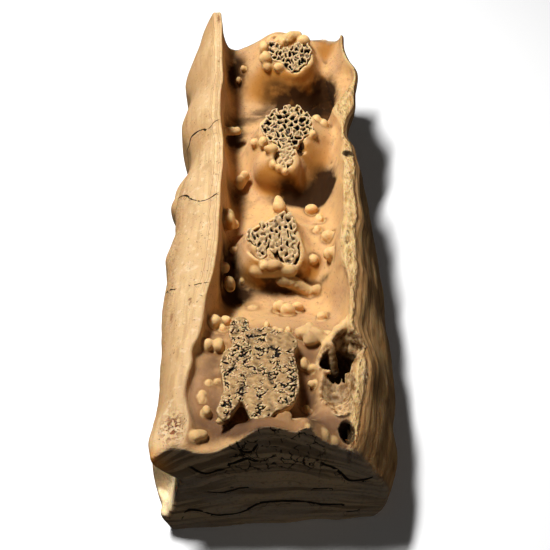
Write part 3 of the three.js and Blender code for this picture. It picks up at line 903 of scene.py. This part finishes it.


# Stains and painted shade, kept low in the channel; the dent beside the second boss gets painted shade too
stain_and_shade = patches(STAINS_AND_SHADE) * (1 - fade(pz, 36, 48) * (py > -70))
stain_and_shade = stain_and_shade * (1 - outer) * (1 - band) * (1 - righting)
stain_and_shade = stain_and_shade + 1.2 * fade(egg_scale(px, py, pz, DENT[:3], DENT[3:6]), 1.3, 1)
# The ring round each pearl's foot is painted shade
pearly, pearl_foot_shade, broken = np.zeros((3, len(px)))
for cx, cy, cz, half, rise in PEARLS:
    close = np.flatnonzero(np.abs(px - cx) + np.abs(py - cy) < 12)
    half, rise = SWELL * half, SWELL * rise
    egg = egg_scale(px[close], py[close], pz[close] - cz - 0.25 * rise, (cx, cy, 0), (half, half, rise))
    away = (egg - 1) * min(half, rise)
    pearly[close] = np.maximum(pearly[close], min(1, rise / half) ** 2 * fade(away, 0.8, 0.1))
    pearl_foot_shade[close] = np.maximum(pearl_foot_shade[close], fade(away, 2.4, 0.9))
for roll in ROLLS:
    t = roll_share(roll, px, py)
    radius = roll[3] + t * (roll[7] - roll[3])
    pearly = np.maximum(pearly, fade(roll_gap(roll, t, px, py, pz) / radius, 1.6, 1.1))
for hollow in HOLLOWS:
    broken = np.maximum(broken, fade(egg_scale(px, py, pz, hollow[:3], hollow[3:6]), 1.22, 1.08))
# Painted shade deep inside the broken hollows: low down, in the rim's nick and in the hole by the lip
hollow_shade = broken * np.clip(fade(pz, 46, 35) + (py > 0) + (py < -110), 0, 1)

# %% Cracks and pits
wander = 1.6 * waves(pz, py, 12, 47) * fade(44 - pz, 0, 8)
side_crack, side_near = crack_numbers(px, py + wander, CRACKS, 300)
front_crack, front_near = crack_numbers(px, pz, FRONT_CRACKS, 320)
side_near = side_near * outer * (1 - fronting) * fade(pz, 16, 34)
front_near = front_near * fronting
pitted = 1.6 * bell((px + 35.5) / 3.4, (py + 117) / 4.6) + 0.4 * bell((px + 43) / 3, (py + 15) / 60)
mud = fade(px, -18, -14) * fade(px, 19, 15) * fade(pz, 37, 41) * fronting
numbers = {
    "across": rim - px,
    "band": band,
    "below": RIM_LEVEL - pz,
    "bend": bend(tooth, 2),
    "broken": broken,
    "pearl_foot_shade": pearl_foot_shade * (1 - pearly),
    "crack": np.where(front_near > side_near, front_crack, side_crack),
    "cracked": np.maximum(front_near, side_near),
    "hollow_shade": hollow_shade,
    # painted orange glow where the bleached side turns to face left, as if light came through it
    "edge_glow": outer * fade(-normal[:, 0], 0.55, 0.95),
    "flank_shade": flank_shade * (1 - 0.7 * pearly),
    "front": np.maximum(fronting, backing) * (1 - ledge),
    "frontal": fade(-py, 52, 74) * fade(normal[:, 2], 0.5, 0.8),
    "growth": growth,
    "laminated": outer * fade(py, -64, -48),
    "ledge": ledge,
    "mark": np.clip(patches(SCARS), 0, 1) * outer,
    "mud": mud * fade(-normal[:, 1], 0.6, 0.85),
    # painted orange glow on the slab's thin nose
    "nose": bell((px + 42) / 5, (py + 126) / 4, (pz - 42) / 6),
    "outer": np.maximum(outer, ledge),
    "pearly": pearly * (1 - outer),
    "pitted": pitted * outer,
    "right": righting,
    "stain_and_shade": np.clip(stain_and_shade, 0, 1),
}
for name, value in numbers.items():
    give_number(tooth, name, value)
for piece in sponges:
    # The sponges' bend: the material paints wear with a painted highlight on their edges, and painted shade
    # in their hollows
    give_number(piece, "worn", bend(piece, 1))
print("bend, least and most:", np.round(np.percentile(numbers["bend"], (1, 99)), 3))

# %% [markdown]
# ## Dentine
# The material is waxy dentine: light goes a few millimetres into it and comes out redder, so thin rims and
# pearls glow orange. Its colour is built in coats, and each coat is one mix that is steered by one of the
# surface numbers and by noise: channel, bleached outside, right side, front face, break, cracks. Several
# coats
# are painted light: painted shade in stained hollows, creases, deep breaks, on the bosses' front flanks and
# round the pearls' feet, a painted glow on the left edge and the slab's nose, and painted highlights on
# convex edges and on the corner's shelf.

# %% Small tools for materials
def new_material(name, roughness, depth):
    """A Principled material with light scattering under its surface, its node tree and its shader."""
    material = bpy.data.materials.new(name)
    material.use_nodes = True
    shader = material.node_tree.nodes["Principled BSDF"]
    shader.inputs["Roughness"].default_value = roughness
    shader.inputs["Specular IOR Level"].default_value = 0.1
    shader.inputs["Subsurface Weight"].default_value = 0.4
    shader.inputs["Subsurface Radius"].default_value = (1, 0.35, 0.1)
    shader.inputs["Subsurface Scale"].default_value = depth * MM
    return material, material.node_tree, shader


class Coats:
    """Node chains in a few words: every method adds nodes and gives back the output to use next."""

    def __init__(self, tree):
        self.tree = tree
        self.here = self.add("ShaderNodeTexCoord").outputs["Object"]

    def add(self, kind, *links, **settings):
        """A node with its settings, and its inputs linked or set, in order of (input, value)."""
        node = self.tree.nodes.new(kind)
        for key, value in settings.items():
            setattr(node, key, value)
        for where, value in links:
            if isinstance(value, bpy.types.NodeSocket):
                self.tree.links.new(value, node.inputs[where])
            else:
                node.inputs[where].default_value = value
        return node

    def number(self, name):
        """One of the vertex numbers."""
        return self.add("ShaderNodeAttribute", attribute_name=name).outputs["Fac"]

    def noise(self, length, stretch=(1, 1, 1), detail=3, rough=0.55, seed=0):
        """Noise with features of about this many millimetres, stretched along the axes."""
        scale = tuple(1 / part for part in stretch)
        spot = self.add("ShaderNodeMapping", (0, self.here), ("Scale", scale), ("Location", (seed, 0, 0)))
        node = self.add("ShaderNodeTexNoise", ("Vector", spot.outputs[0]), ("Scale", 1 / (length * MM)),
                        ("Detail", detail), ("Roughness", rough))
        return node.outputs["Fac"]

    def ramp(self, value, start, stop, low=0.0, high=1.0):
        """The value's place between start and stop, smoothly, as a number from low to high."""
        node = self.add("ShaderNodeMapRange", (0, value), (1, start), (2, stop), (3, low), (4, high),
                        interpolation_type="SMOOTHSTEP")
        return node.outputs[0]

    def math(self, operation, a, b=0.0):
        """One sum or other step of arithmetic."""
        return self.add("ShaderNodeMath", (0, a), (1, b), operation=operation).outputs[0]

    def times(self, product, *values):
        """All the values multiplied."""
        for value in values:
            product = self.math("MULTIPLY", product, value)
        return product

    def line(self, value, middle, half):
        """One where the value is at the middle, and nothing at half a width to either side."""
        return self.times(self.ramp(value, middle - half, middle), self.ramp(value, middle + half, middle))

    def mix(self, amount, a, b):
        """From colour a to colour b."""
        a, b = (colour if isinstance(colour, bpy.types.NodeSocket) else (*colour, 1) for colour in (a, b))
        return self.add("ShaderNodeMix", (0, amount), (6, a), (7, b), data_type="RGBA").outputs[2]

    def paint(self, colour, *coats):
        """The colour with coats over it, in order, each given as its amount and its own colour."""
        for amount, coat in coats:
            colour = self.mix(amount, colour, coat)
        return colour

    def bump(self, *coats):
        """The normal after bumps, in order, each given as its height and its distance in millimetres."""
        normal = None
        for height, distance in coats:
            before = [] if normal is None else [("Normal", normal)]
            node = self.add("ShaderNodeBump", ("Height", height), ("Distance", distance * MM), *before)
            normal = node.outputs[0]
        return normal


# %% The waxy channel
dentine, tree, shader = new_material("fossil dentine", 0.48, 2.6)
make = Coats(tree)
broad, middling, fine = make.noise(22), make.noise(6, seed=3), make.noise(1.3, detail=4, seed=7)
grit = make.times(make.ramp(make.noise(0.8, detail=2, seed=19), 0.62, 0.7), make.ramp(broad, 0.4, 0.6), 0.7)
# The stain number is brown stain together with painted shade in hollows, under the bosses and beside the
# left wall
stain_and_shade_level = make.times(make.number("stain_and_shade"), make.ramp(middling, 0.2, 0.6, 0.7, 1.35))
stain_and_shade_amount = make.ramp(stain_and_shade_level, 0.1, 0.95)
ridge = make.number("bend")
# painted shade for the bosses' front flanks: amber, darker where stain and shade are
flank_shade_colour = make.mix(stain_and_shade_amount, (0.44, 0.17, 0.014), (0.045, 0.017, 0.004))
waxy = make.paint(
    make.mix(make.ramp(broad, 0.35, 0.65), (0.68, 0.40, 0.165), (0.56, 0.325, 0.15)),
    (make.ramp(middling, 0.5, 0.75, 0, 0.55), (0.38, 0.20, 0.10)),
    (make.ramp(fine, 0.58, 0.74, 0, 0.5), (0.16, 0.07, 0.02)),
    (grit, (0.10, 0.04, 0.015)),
    # brown stain and painted shade, nearly black
    (stain_and_shade_amount, (0.032, 0.013, 0.004)),
    # painted highlight on convex edges, kept off the stains
    (make.times(make.ramp(ridge, 0.03, 0.16, 0, 0.8), make.ramp(stain_and_shade_level, 0.5, 0.1)), (0.74, 0.50, 0.23)),
    # painted shade in concave creases
    (make.ramp(ridge, -0.04, -0.16, 0, 0.7), (0.14, 0.055, 0.015)),
    (make.times(make.number("frontal"), make.ramp(broad, 0.3, 0.7, 0.35, 0.75)), (0.29, 0.15, 0.075)),
    # painted shade round the pearls' feet
    (make.times(make.number("pearl_foot_shade"), 0.5), (0.24, 0.11, 0.035)),
    (make.times(make.number("pearly"), 0.65), (0.80, 0.53, 0.23)),
    # painted shade on the bosses' front flanks
    (make.times(make.number("flank_shade"), 0.8), flank_shade_colour),
)

# %% The bleached outside
specks = make.ramp(make.noise(0.9, (1, 1.6, 1), detail=2, seed=9), 0.62, 0.7)
pocks = make.times(make.ramp(make.noise(1.3, detail=3, seed=15), 0.5, 0.58), make.number("pitted"))
scars = make.times(make.number("mark"), make.ramp(fine, 0.3, 0.6, 0.5, 1.3))
cream = make.paint(
    make.mix(make.ramp(broad, 0.3, 0.7), (0.67, 0.46, 0.24), (0.57, 0.37, 0.18)),
    (make.ramp(make.noise(2.2, (1, 14, 1), detail=4), 0.45, 0.7, 0, 0.6), (0.42, 0.25, 0.115)),
    (make.ramp(make.noise(3, detail=4, seed=21), 0.52, 0.72, 0, 0.6), (0.76, 0.60, 0.38)),
    (make.ramp(make.noise(7, (1, 2, 1), seed=5), 0.5, 0.75, 0, 0.75), (0.44, 0.27, 0.12)),
    (make.times(specks, make.ramp(middling, 0.42, 0.62)), (0.13, 0.06, 0.025)),
    (make.times(pocks, 0.85), (0.24, 0.085, 0.035)),
    (make.ramp(scars, 0.15, 0.8, 0, 0.85), (0.20, 0.075, 0.03)),
    # painted orange glow on the left-facing edge
    (make.times(make.number("edge_glow"), 0.6), (0.50, 0.255, 0.095)),
    # painted light: the corner's shelf is painted bright cream as if lit
    (make.times(make.number("ledge"), make.ramp(fine, 0.7, 0.45, 0.6, 1)), (0.95, 0.74, 0.44)),
)

# %% The rims
colour = make.mix(make.number("outer"), waxy, cream)
wobble = make.math("ADD", make.number("across"), make.ramp(make.noise(9, seed=2), 0.2, 0.8, -0.5, 0.5))
for start, strength in ((1.6, 0.6), (2.5, 0.4), (4.2, 0.75), (5.0, 0.35)):
    lamina = make.times(make.line(wobble, start, 0.28), strength, make.number("laminated"))
    colour = make.mix(lamina, colour, (0.30, 0.17, 0.07))
streak = make.noise(1.5, (1, 16, 1.2), detail=4, seed=4)
crust = make.noise(1.9, (1, 1.8, 1), detail=4, seed=17)
flecks = make.ramp(make.noise(1.6, (1, 2.5, 1), seed=16), 0.6, 0.68)
colour = make.paint(
    colour,
    (make.times(make.ramp(wobble, 1.4, 0.2), make.number("outer"), 0.6), (0.82, 0.62, 0.34)),
    (make.times(make.number("band"), make.ramp(streak, 0.35, 0.6, 0.4, 1)),
     make.mix(make.ramp(crust, 0.3, 0.62), (0.44, 0.25, 0.08), (0.76, 0.54, 0.25))),
    (make.times(make.number("band"), flecks, 0.8), (0.13, 0.06, 0.02)),
)

# %% The bark of the right side
blotch = make.noise(3.4, (1, 2.6, 1.2), detail=5, seed=31)
bark = make.paint(
    make.mix(make.ramp(streak, 0.36, 0.66), (0.54, 0.285, 0.105), (0.70, 0.415, 0.175)),
    (make.ramp(broad, 0.4, 0.7, 0, 0.5), (0.42, 0.21, 0.075)),
    (make.ramp(blotch, 0.52, 0.68, 0, 0.7), (0.26, 0.12, 0.04)),
    (make.ramp(blotch, 0.44, 0.3, 0, 0.6), (0.76, 0.50, 0.23)),
)
sway = make.ramp(make.noise(16, (1, 2, 1), seed=12), 0.2, 0.8, -1.2, 1.2)
below = make.math("ADD", make.number("below"), sway)
for start in (2.6, 5.2, 8.6):
    bark = make.mix(make.times(make.line(below, start, 0.8), 0.6), bark, (0.14, 0.06, 0.02))
colour = make.mix(make.number("right"), colour, bark)

# %% The end grain and its dried mud
arched = make.add("ShaderNodeCombineXYZ", ("Z", make.times(make.number("growth"), MM)))
squeezed = make.add("ShaderNodeVectorMath", (0, make.here), (1, (0.07, 0.07, 0)), (2, arched.outputs[0]),
                    operation="MULTIPLY_ADD")
layers = make.add("ShaderNodeTexNoise", ("Vector", squeezed.outputs[0]), ("Scale", 1 / (2.6 * MM)),
                  ("Detail", 5))
layer = layers.outputs["Fac"]
end_grain = make.paint(
    make.mix(make.ramp(layer, 0.42, 0.58), (0.22, 0.145, 0.08), (0.50, 0.35, 0.20)),
    (make.ramp(make.noise(16, (1.6, 1, 1), seed=18), 0.4, 0.62, 0, 0.7), (0.36, 0.285, 0.21)),
    (make.ramp(fine, 0.5, 0.75, 0, 0.5), (0.15, 0.09, 0.045)),
)
warp = make.add("ShaderNodeTexNoise", ("Vector", make.here), ("Scale", 1 / (2.2 * MM)), ("Detail", 3))
bent = make.add("ShaderNodeVectorMath", (0, warp.outputs["Color"]), (1, (3.4 * MM,) * 3), (2, make.here),
                operation="MULTIPLY_ADD")
plates = make.add("ShaderNodeTexVoronoi", ("Vector", bent.outputs[0]), ("Scale", 1 / (4.8 * MM)),
                  feature="DISTANCE_TO_EDGE")
mud_line = make.times(make.ramp(plates.outputs["Distance"], 0.065, 0.02), make.number("mud"),
                      make.ramp(make.noise(4, seed=22), 0.42, 0.54))

# %% Breaks with painted shade deep inside, cracks and the painted glow on the thin lip
crumbs = make.ramp(make.noise(2.5, detail=5, seed=8), 0.35, 0.65)
bone = make.mix(crumbs, (0.20, 0.095, 0.03), (0.66, 0.45, 0.23))
# painted shade deep in the breaks
bone = make.mix(make.number("hollow_shade"), bone, (0.03, 0.014, 0.005))
width = make.math("ADD", make.times(make.number("front"), 0.35), make.ramp(middling, 0.3, 0.7, 0.15, 0.5))
gap = make.math("DIVIDE", make.math("ABSOLUTE", make.number("crack")), width)
crack = make.times(make.ramp(gap, 1.1, 0.5), make.number("cracked"))
colour = make.paint(
    colour,
    (make.number("front"), end_grain),
    (mud_line, (0.02, 0.012, 0.006)),
    (make.times(make.number("broken"), 0.9), bone),
    (crack, (0.015, 0.009, 0.004)),
    # painted orange glow on the thin nose, as light coming through it
    (make.number("nose"), (0.78, 0.30, 0.045)),
)
tree.links.new(colour, shader.inputs["Base Color"])

# %% Gloss and relief
gloss = make.ramp(make.times(stain_and_shade_level, make.math("SUBTRACT", 1.0, make.number("outer"))), 0, 0.6, 0.45, 0.95)
tree.links.new(gloss, shader.inputs["Roughness"])
relief = make.bump(
    (make.math("ADD", make.times(fine, 0.6), make.noise(0.5, detail=3, seed=11)), 0.2),
    (make.times(pocks, -1.0), 0.7),
    (make.times(make.math("ADD", crack, mud_line), -1.0), 0.3),
    (make.times(streak, make.number("right")), 0.35),
    (make.times(crust, make.number("band")), 2.4),
    (make.times(layer, make.number("front")), 0.7),
)
tree.links.new(relief, shader.inputs["Normal"])
tooth.data.materials.append(dentine)


# %% The sponges' materials
def spongy_material(name, pale, dark, deep_end):
    """Pale walls with painted shade: nearly black from the given depth down in the pores, darker in the
    hollows between walls, and with wear and a painted highlight on the edges.
    """
    material, tree, shader = new_material(name, 0.55, 0.8)
    make = Coats(tree)
    worn = make.number("worn")
    walls = make.paint(
        make.mix(make.ramp(make.noise(1.6, detail=4), 0.3, 0.7), pale, dark),
        (make.ramp(make.noise(7, seed=4), 0.45, 0.7, 0, 0.45), dark),
        # wear with a painted highlight on convex edges
        (make.ramp(worn, 0.1, 0.6, 0, 0.6), (0.80, 0.60, 0.34)),
        # painted shade in concave hollows
        (make.ramp(worn, -0.05, -0.5, 0, 0.7), (0.14, 0.075, 0.03)),
        # painted shade: the pores go nearly black with depth
        (make.ramp(make.number("depth"), 0.35, deep_end), (0.012, 0.007, 0.004)),
    )
    tree.links.new(walls, shader.inputs["Base Color"])
    tree.links.new(make.bump((make.noise(0.4, detail=3), 0.15)), shader.inputs["Normal"])
    return material


open_material = spongy_material("spongy dentine", (0.68, 0.48, 0.25), (0.38, 0.24, 0.11), 1.4)
filled_material = spongy_material("filled spongy dentine", (0.47, 0.295, 0.13), (0.27, 0.155, 0.065), 1.2)
for piece in sponges:
    piece.data.materials.append(filled_material if piece.name == "sponge_front" else open_material)
print("materials:", [material.name for material in (dentine, open_material, filled_material)])

# %% [markdown]
# ## Where the pieces belong
# The block and its four sponges are one part of the imported model. They ride on its body and stand in for
# its node, whose part is hidden.

# %% Body, and the hidden part
for piece in [tooth] + sponges:
    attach(piece, "root")
    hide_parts("tooth_section")

# %% [markdown]
# ## Floor, light and camera
# The block lies on a pale floor under one near strip light, up to its left and a little behind. The strip is
# small, so the walls throw a shadow into the channel that is dark at its root and soft at its edge. A weak,
# broad light from the front keeps the face and the right side readable. The floor gives the block no light
# of its own, because a white floor would fill the hollows with grey.

# %% Floor and world
bpy.ops.mesh.primitive_plane_add(size=6)
floor = bpy.context.object
floor.name = "floor"
paper = bpy.data.materials.new("pale floor")
paper.use_nodes = True
paper.node_tree.nodes["Principled BSDF"].inputs["Base Color"].default_value = (0.96, 0.96, 0.96, 1)
floor.data.materials.append(paper)
floor.visible_diffuse = False
floor.visible_glossy = False
floor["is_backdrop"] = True
world = bpy.data.worlds.new("studio")
world.use_nodes = True
world.node_tree.nodes["Background"].inputs["Strength"].default_value = 0.02
world.node_tree.nodes["Background"].inputs["Color"].default_value = (1, 1, 1, 1)
bpy.context.scene.world = world

# %% Two lights and the camera
MIDDLE = (0, 0, 0.03)


def area_light(name, power, colour, size, place):
    """An area light at a place, turned to the middle of the block."""
    light = bpy.data.lights.new(name, "AREA")
    light.energy = power
    light.color = colour
    light.shape = "RECTANGLE"
    light.size, light.size_y = size
    lamp = bpy.data.objects.new(name, light)
    lamp.location = place
    lamp.rotation_euler = (Vector(MIDDLE) - Vector(place)).to_track_quat("-Z", "Y").to_euler()
    bpy.context.scene.collection.objects.link(lamp)


area_light("key", 7.8, (1, 1, 1), (0.22, 0.065), (-0.24, 0.12, 0.68))
area_light("fill", 3.7, (1, 0.96, 0.91), (1.5, 1.5), (0.9, -1.7, 0.5))
camera = bpy.data.objects.new("camera", bpy.data.cameras.new("camera"))
camera.data.lens = 60
camera.location = (0, -0.286, 0.324)
camera.rotation_euler = (math.radians(41.3), 0, 0)
bpy.context.scene.collection.objects.link(camera)
bpy.context.scene.camera = camera
bpy.context.scene.view_settings.view_transform = "Standard"

# %% Sizes and finish
built_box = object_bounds()
for box in (cad_box, built_box):
    print("box, mm:", [[round(value / MM, 1) for value in corner] for corner in box])
